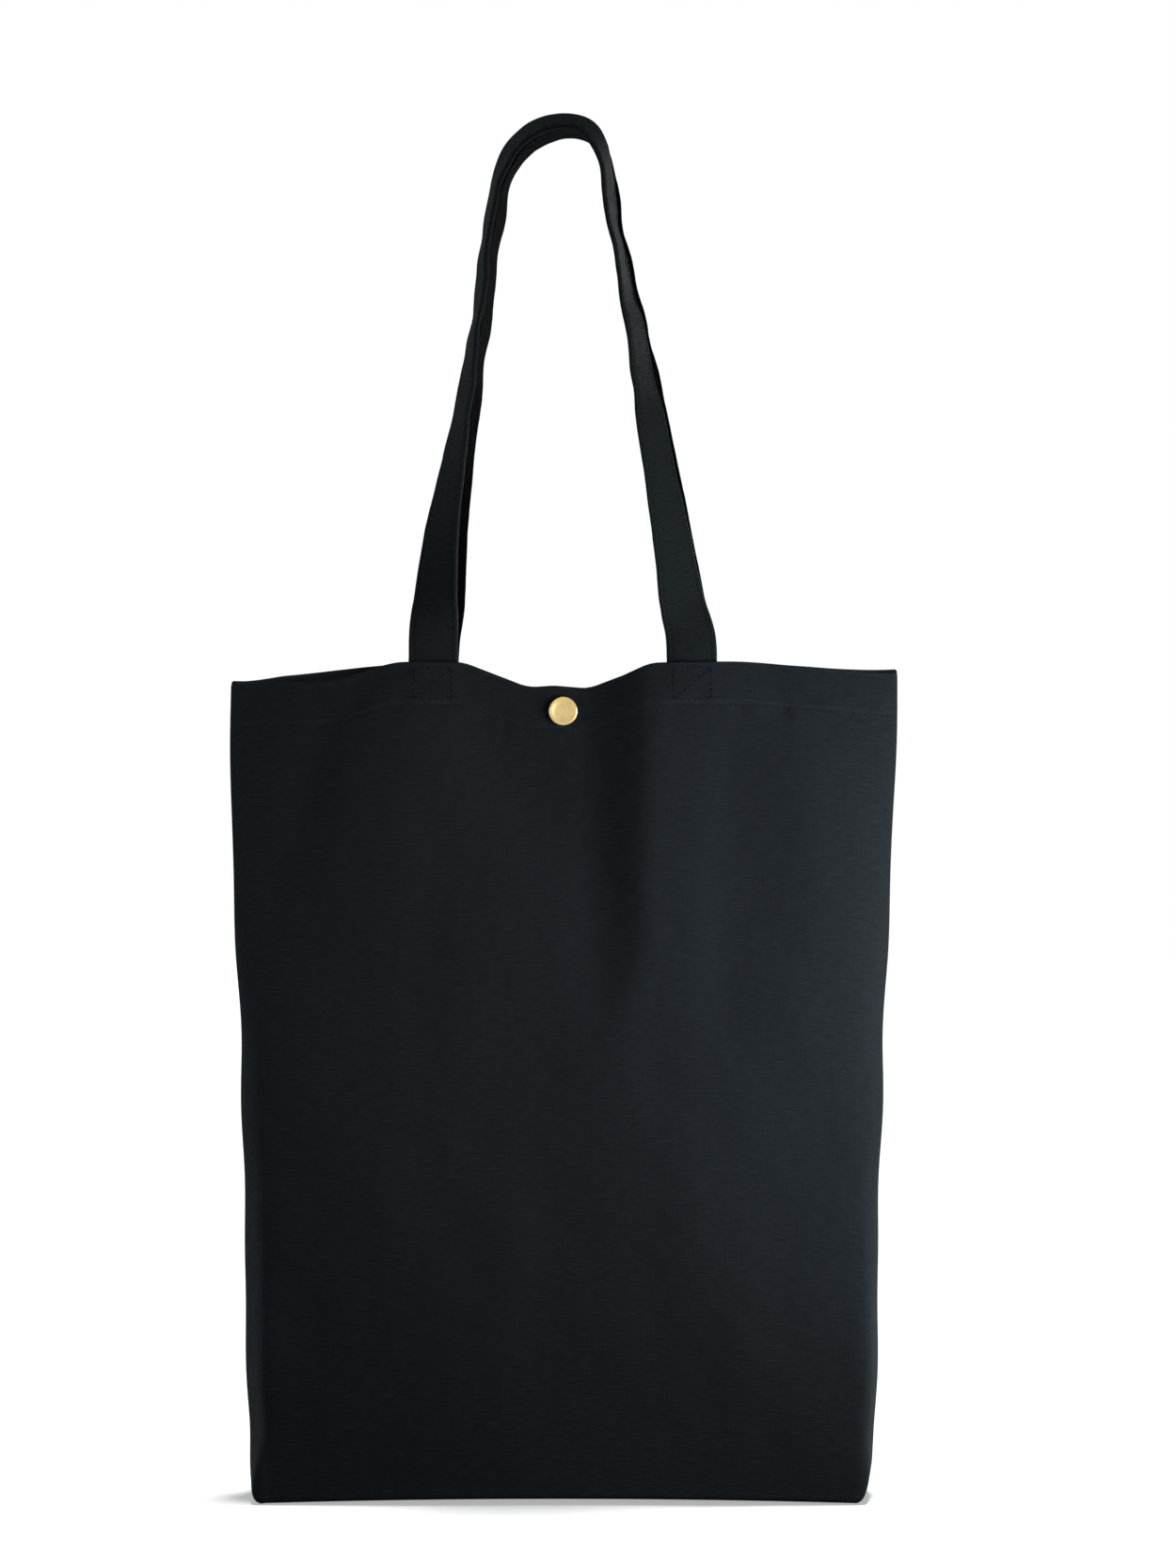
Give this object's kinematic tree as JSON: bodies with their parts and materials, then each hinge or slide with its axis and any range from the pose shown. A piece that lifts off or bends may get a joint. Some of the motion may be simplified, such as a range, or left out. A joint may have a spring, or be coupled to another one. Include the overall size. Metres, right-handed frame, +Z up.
{
  "type": "canvas tote bag",
  "caption": "Soft canvas tote bag with a boxed bottom, long shoulder straps and a brass snap fastener that closes the hemmed mouth.",
  "frame": {"origin": "on the ground under the middle of the base", "axes": "+Z up through the mouth, +X to the right as the front wall is looked at, front wall towards -Y"},
  "size_m": [0.3443, 0.06, 0.7091],
  "materials": {
    "canvas": "blue-black plain-weave cotton canvas, matt with a faint nap",
    "strap_canvas": "the same canvas folded into flat straps and edge-stitched",
    "thread": "matching polyester sewing thread, slight sheen",
    "brass": "satin brass, fine turning marks"
  },
  "bodies": {
    "bag": {"back_panel": "canvas", "base_panel": "canvas", "back_hem_facing": "canvas", "back_hem_stitching": "thread", "left_side_seam": "canvas", "right_side_seam": "canvas", "left_corner_seam": "canvas", "right_corner_seam": "canvas", "base_seam": "canvas", "back_strap_left_end": "strap_canvas", "back_strap_right_end": "strap_canvas", "back_box_stitch_left": "thread", "back_box_stitch_right": "thread", "snap_stud": "brass", "snap_stud_post": "brass"},
    "front_wall": {"front_panel": "canvas", "front_hem_facing": "canvas", "front_hem_stitching": "thread", "front_strap_left_end": "strap_canvas", "front_strap_right_end": "strap_canvas", "front_box_stitch_left": "thread", "front_box_stitch_right": "thread", "snap_cap": "brass", "snap_socket": "brass", "snap_spring": "brass"},
    "front_strap_loop": {"front_strap": "strap_canvas"},
    "back_strap_loop": {"back_strap": "strap_canvas"}
  },
  "joints": [
    {"name": "mouth_open", "type": "hinge", "parent": "bag", "child": "front_wall", "pos_m": [0, -0.03, 0], "axis": [1, 0, 0], "range_deg": [0, 8]},
    {"name": "front_strap_fold", "type": "hinge", "parent": "front_wall", "child": "front_strap_loop", "pos_m": [0, -0.013, 0.43], "axis": [1, 0, 0], "range_deg": [0, 165]},
    {"name": "back_strap_fold", "type": "hinge", "parent": "bag", "child": "back_strap_loop", "pos_m": [0, 0.013, 0.43], "axis": [-1, 0, 0], "range_deg": [0, 165]}
  ]
}
